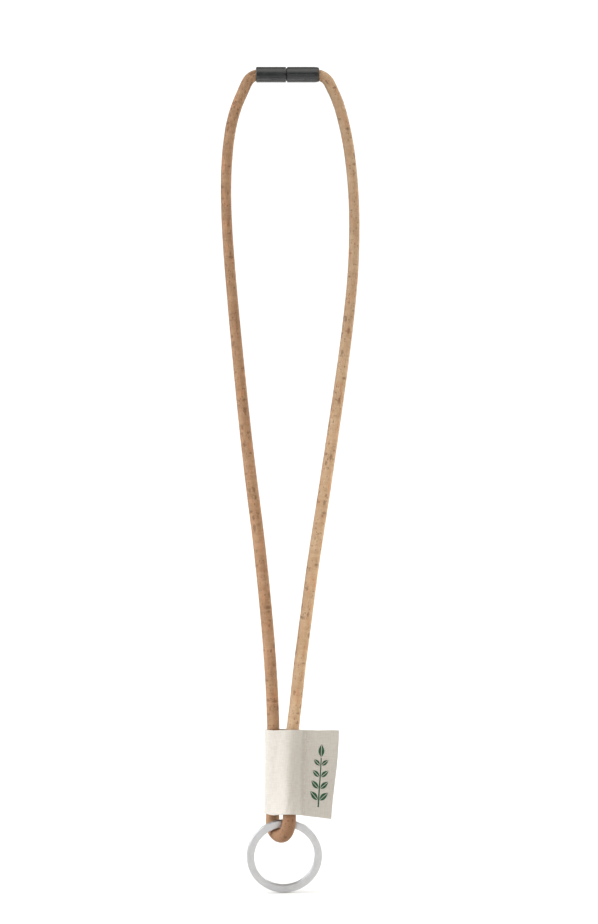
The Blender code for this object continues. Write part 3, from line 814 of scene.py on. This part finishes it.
def sprig(cloth):
    """A leafy sprig in green ink: a stem, pairs of leaves and one at the top."""
    foot = Vector(SPRIG_FOOT)
    half = SPRIG_STEM / 2
    stem_top = SPRIG_HEIGHT - LEAF_LENGTH - 0.3 * MM
    stem = [[foot + Vector((x * half * (1 - 0.45 * y / stem_top), y))
             for x in (-1, -0.33, 0.33, 1)]
            for y in np.linspace(0, stem_top, 40).tolist()]
    plates = [np.array(stem)]
    for pair in range(SPRIG_PAIRS):
        level = SPRIG_HEIGHT * (PAIR_LEVELS[0] + PAIR_LEVELS[1] * pair) + 0.3 * MM
        size = 1 - PAIR_SHRINK * pair
        for hand in (-1, 1):
            root = foot + Vector((hand * (half + 0.12 * MM), level))
            for side in (-1, 1):
                plates.append(half_leaf(root, hand * LEAF_ANGLE, size * LEAF_LENGTH,
                                        size * LEAF_WIDTH, side))
    for side in (-1, 1):
        plates.append(half_leaf(foot + Vector((0, SPRIG_HEIGHT - LEAF_LENGTH)), 0.0,
                                LEAF_LENGTH, LEAF_WIDTH, side))
    mesh = joined("label_sprig", [slab(cloth, p, 0.01 * MM, INK_HEIGHT) for p in plates])
    made = piece("label_sprig", mesh, ink())
    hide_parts("label_print")
    return made


def stitches(name, cloth, side, finish):
    """A row of lockstitches down the flap's root, each one sunk into the canvas at its ends."""
    radius, pitch = STITCH_RADIUS, STITCH_PITCH
    sides = np.arange(STITCH_SIDES) * 2 * pi / STITCH_SIDES
    at = np.linspace(0, 1, 13)
    meshes = []
    for k in range(STITCH_COUNT):
        start = LABEL_TOP - STITCH_START - k * pitch
        rings = []
        for s in at:
            z = start - s * (pitch - STITCH_SPACE)
            swell = sin(pi * s) ** 0.35 if 0 < s < 1 else 0.0
            lift = radius * (1.5 * swell - 0.9)
            centre = cloth.at(SEAM_INSET + 0.02 * MM * (-1) ** k, z, lift, side)
            out = unit(cloth.at(SEAM_INSET, z, 1 * MM, side) - cloth.at(SEAM_INSET, z, 0, side))
            sideways = unit(np.cross(out, (0, 0, 1)))
            thick = radius * (0.35 + 0.65 * swell)
            rings.append([centre + thick * (cos(a) * out + sin(a) * sideways) for a in sides])
        uv = np.stack(np.meshgrid(np.arange(STITCH_SIDES + 1) * 0.1 * MM, at * pitch), -1)
        meshes.append(tube("stitch", np.array(rings), uv, caps=True))
    return piece(name, joined(name, meshes), finish)


def label(left, right):
    cloth = Cloth(label_grid(left, right))
    made = piece("label_canvas", label_mesh(cloth), canvas())
    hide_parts("canvas_label")
    cotton = thread()
    front = stitches("label_stitches_front", cloth, 1, cotton)
    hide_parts("seam_thread_front")
    back = stitches("label_stitches_back", cloth, -1, cotton)
    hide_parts("seam_thread_back")
    printed = sprig(cloth)
    for part in (made, front, back, printed):
        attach(part, "label")


# ---------------------------------------------------------------- clasp


def filleted(corners):
    """A profile through (x, radius, fillet) corners, with an arc of that fillet at each one."""
    places = [np.array(c[:2]) for c in corners]
    line = [places[0]]
    for before, here, after, (*_, fillet) in zip(places, places[1:], places[2:], corners[1:-1]):
        a, b = before - here, after - here
        room = 0.45 * min(np.linalg.norm(a), np.linalg.norm(b))
        a, b = unit(a), unit(b)
        half = 0.5 * np.arccos(np.clip(a.dot(b), -1, 1))
        reach = min(fillet / np.tan(half), room) if fillet else 0.0
        if reach < 1e-7:
            line.append(here)
            continue
        for t in np.linspace(0, 1, FILLET_STEPS):
            line.append((1 - t) ** 2 * (here + reach * a) + 2 * t * (1 - t) * here
                        + t**2 * (here + reach * b))
    line.append(places[-1])
    return np.array(line)


def turned(name, corners, cut, finish):
    """A solid turned about the clasp's axis. cut(x, radius, angle) is how far it is sunk there."""
    profile = filleted(corners)
    dense = [profile[0]]
    for a, b in zip(profile, profile[1:]):
        count = max(1, int(np.linalg.norm(b - a) / (0.25 * MM)))
        dense += [a + (b - a) * k / count for k in range(1, count + 1)]
    angles = np.arange(TURNED_STEPS) * 2 * pi / TURNED_STEPS
    rows = []
    for x, radius in dense[1:-1]:
        row = []
        for angle in angles:
            r = radius - cut(x, radius, angle)
            row.append((x, -r * cos(angle), CLASP_RADIUS + r * sin(angle)))
        rows.append(row)
    uv = np.zeros((len(rows), TURNED_STEPS + 1, 2))
    mesh = tube(name, np.array(rows), uv, caps=True)
    return piece(name, mesh, finish)


def mouth(sign, length, drop):
    """Corners of a cord's end of the clasp: rounded over the length by the drop, then the bore."""
    end, floor = sign * CLASP_HALF_SPAN, sign * CORD_BORE_FLOOR
    round_off = [(end - sign * length * (1 - sin(a)), CLASP_RADIUS - drop * (1 - cos(a)), 0)
                 for a in np.linspace(0, pi / 2, 9).tolist()]
    return [
        *round_off,
        (end, CORD_BORE_RADIUS, 0.05 * MM),
        (floor, CORD_BORE_RADIUS, 0.2 * MM),
        (floor, 0.05 * MM, 0),
    ]


def channel(angle, middle, half_width, depth, soft):
    """Depth at an angle of a channel that runs along the clasp."""
    off = abs((angle - middle + pi) % (2 * pi) - pi)
    share = np.clip((half_width + soft - off) / (2 * soft), 0, 1)
    return depth * share * share * (3 - 2 * share)


def within(x, a, b):
    """1 where x is between a and b, 0 outside, with soft ends."""
    share = np.clip(min(x - a, b - x) / CHANNEL_END + 0.5, 0, 1)
    return share * share * (3 - 2 * share)


def socket_half(finish):
    face = CLASP_SPLIT - CLASP_GAP / 2
    floor = face - STEM_LENGTH - 0.7 * MM
    groove = CLASP_SPLIT - STEM_LENGTH + 1.9 * MM
    corners = [
        (floor, 0.05 * MM, 0),
        (floor, SNAP_BORE_RADIUS, 0.2 * MM),
        (groove - 1.4 * MM, SNAP_BORE_RADIUS, 0.2 * MM),
        (groove - 1.0 * MM, SNAP_GROOVE_RADIUS, 0.2 * MM),
        (groove, SNAP_GROOVE_RADIUS, 0.2 * MM),
        (groove + 0.4 * MM, SNAP_BORE_RADIUS, 0.2 * MM),
        (face, SNAP_BORE_RADIUS, 0.3 * MM),
        (face, CLASP_RADIUS, 0.14 * MM),
        *mouth(-1, *SOCKET_END),
    ]

    def cut(x, radius, angle):
        if radius < OUTSIDE:
            return 0.0
        ends = -CLASP_HALF_SPAN + 1.2 * MM, face - 1.0 * MM
        return channel(angle, *SOCKET_PANEL) * within(x, *ends)

    made = turned("clasp_socket", corners, cut, finish)
    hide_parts("clasp_socket_half")
    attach(made, "root")


def plug_half(finish):
    face = CLASP_SPLIT + CLASP_GAP / 2
    tip = CLASP_SPLIT - STEM_LENGTH
    corners = [
        (tip, 0.05 * MM, 0),
        (tip, STEM_RADIUS - 0.5 * MM, 0.2 * MM),
        (tip + 1.1 * MM, STEM_BEAD_RADIUS, 0.25 * MM),
        (tip + 1.6 * MM, STEM_BEAD_RADIUS, 0.25 * MM),
        (tip + 2.1 * MM, STEM_RADIUS, 0.2 * MM),
        (face - SHOULDER[1], STEM_RADIUS, 0.25 * MM),
        (face - SHOULDER[1], SHOULDER[0], 0.05 * MM),
        (face, SHOULDER[0], 0),
        (face, CLASP_RADIUS, 0.14 * MM),
        *mouth(1, *PLUG_END),
    ]

    def cut(x, radius, angle):
        if radius < OUTSIDE:
            return 0.0
        ends = face + 0.3 * MM, CLASP_HALF_SPAN - 1.4 * MM
        return channel(angle, *PLUG_LINE) * within(x, *ends)

    made = turned("clasp_plug", corners, cut, finish)
    width, length = STEM_SLOT
    bpy.ops.mesh.primitive_cube_add(size=1)
    cutter = bpy.context.object
    cutter.data.transform(Matrix.Diagonal((length + MM, width, 3 * CLASP_RADIUS, 1)))
    cutter.location = (tip + (length - MM) / 2, 0, CLASP_RADIUS)
    slot = made.modifiers.new("stem_slot", "BOOLEAN")
    slot.operation = "DIFFERENCE"
    slot.solver = "EXACT"
    slot.object = cutter
    bpy.context.view_layer.update()
    evaluated = made.evaluated_get(bpy.context.evaluated_depsgraph_get())
    solid = bpy.data.meshes.new_from_object(evaluated)
    made.modifiers.clear()
    made.data = solid
    bpy.data.objects.remove(cutter)
    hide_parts("clasp_plug_half")
    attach(made, "right_strand")


# ---------------------------------------------------------------- split ring


def ring_path():
    """The wire's middle line as (bearing, layer), from one end of the wire to the other."""
    full = 2 * pi
    last = 2 * full - RING_CROSSOVER - RING_END_GAP
    places = []
    for run in np.linspace(RING_END_GAP, last, int((last - RING_END_GAP) / RING_STEP) + 1):
        share = np.clip((run - (full - RING_CROSSOVER)) / RING_CROSSOVER, 0, 1)
        layer = RING_PITCH * (0.5 - share * share * (3 - 2 * share))
        places.append((run + RING_CROSSOVER_AT + RING_CROSSOVER / 2, layer))
    return places


def wire_section():
    """A flattened wire's outline as (across the band, through it), with round corners."""
    fillet = WIRE_FILLET
    w, h = RING_BAND / 2 - fillet, RING_WIRE / 2 - fillet
    outline = []
    for cx, cy, start in ((w, h, 0), (-w, h, pi / 2), (-w, -h, pi), (w, -h, 3 * pi / 2)):
        for angle in np.linspace(start, start + pi / 2, WIRE_FILLET_STEPS):
            outline.append((cx + fillet * cos(angle), cy + fillet * sin(angle)))
    return np.array(outline)


def key_ring():
    middle = RING_OUTER_RADIUS - RING_BAND / 2
    section = wire_section()
    path = ring_path()
    ends = [0.72, 0.9] + [1.0] * (len(path) - 4) + [0.9, 0.72]  # the cut ends are deburred
    rings = [[((middle + size * a) * cos(bearing), (middle + size * a) * sin(bearing) - middle,
               layer + size * b) for a, b in section]
             for (bearing, layer), size in zip(path, ends)]
    around = distances(np.vstack([section, section[:1]]))
    run = np.array([bearing * middle for bearing, _ in path])
    uv = np.stack(np.meshgrid(around, run), -1)
    mesh = tube("key_ring", np.array(rings), uv, caps=True)
    place = Matrix.Translation(RING_PIVOT)
    turn = Matrix.Rotation(RING_YAW, 4, "Z") @ Matrix.Rotation(pi / 2 + RING_LEAN, 4, "X")
    mesh.transform(place @ turn)
    made = piece("key_ring", mesh, satin_steel())
    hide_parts("split_ring")
    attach(made, "ring")


# ---------------------------------------------------------------- stage


def camera():
    low, high = (Vector(corner) for corner in cad_box)
    aim = (low + high) / 2 + CAMERA_OFFSET
    data = bpy.data.cameras.new("camera")
    data.sensor_width = SENSOR
    data.lens = SENSOR * CAMERA_DISTANCE / VIEW_HEIGHT
    made = bpy.data.objects.new("camera", data)
    made.location = (aim.x, -CAMERA_DISTANCE, aim.z)
    made.rotation_euler = (pi / 2, 0, 0)
    scene.collection.objects.link(made)
    scene.camera = made


def sun(name, energy, spread, bearing, height, colour):
    """A wide soft light from a bearing (0 is the camera's, 90 from the right) and a height."""
    data = bpy.data.lights.new(name, "SUN")
    data.energy = energy
    data.angle = radians(spread)
    data.color = colour
    made = bpy.data.objects.new(name, data)
    made.rotation_euler = (radians(90 - height), 0, radians(bearing))
    scene.collection.objects.link(made)


def stage_piece(name, build, **constants):
    """A piece of the set, filled by build(bm), with constant values on its shader's sockets."""
    finish, _, _ = new_material(name, Roughness=0.9, **constants)
    mesh = bpy.data.meshes.new(name)
    bm = bmesh.new()
    build(bm)
    bm.to_mesh(mesh)
    bm.free()
    mesh.materials.append(finish)
    made = bpy.data.objects.new(name, mesh)
    scene.collection.objects.link(made)
    return made


def studio():
    """A pale floor just below the ring, a white dome behind everything and soft lights."""
    scene.view_settings.view_transform = "Standard"
    world = bpy.data.worlds.new("studio")
    world.use_nodes = True
    background = world.node_tree.nodes["Background"]
    background.inputs["Color"].default_value = (1, 0.95, 0.88, 1)
    background.inputs["Strength"].default_value = WORLD_LIGHT
    scene.world = world
    for settings in SUNS:
        sun(*settings)
    ground = Matrix.Translation((0, 0, cad_box[0][2] - 0.2 * MM))
    stage_piece("floor", lambda bm: bmesh.ops.create_circle(
        bm, cap_ends=True, segments=64, radius=STAGE_RADIUS, matrix=ground),
                Base_Color=(0.87, 0.87, 0.86, 1))
    dome = stage_piece("dome", lambda bm: bmesh.ops.create_icosphere(
        bm, subdivisions=4, radius=STAGE_RADIUS),
                       Base_Color=(0, 0, 0, 1), Emission_Color=(1, 1, 1, 1), Emission_Strength=1.1)
    dome.visible_diffuse = False
    dome.visible_glossy = False
    dome.visible_shadow = False
    upright = Matrix.Translation(FLAG_PLACE) @ Matrix.Rotation(pi / 2, 4, "X")
    upright = upright @ Matrix.Diagonal((*FLAG_SIZE, 1, 1))
    flag = stage_piece("flag", lambda bm: bmesh.ops.create_grid(bm, size=0.5, matrix=upright),
                       Base_Color=(0.02, 0.02, 0.02, 1))
    flag.visible_camera = False
    flag.visible_diffuse = False
    flag.visible_shadow = False


camera()
cord_left, cord_right, left_line, right_line = cords()
label(left_line, right_line)
plastic = moulded_plastic()
socket_half(plastic)
plug_half(plastic)
key_ring()
studio()
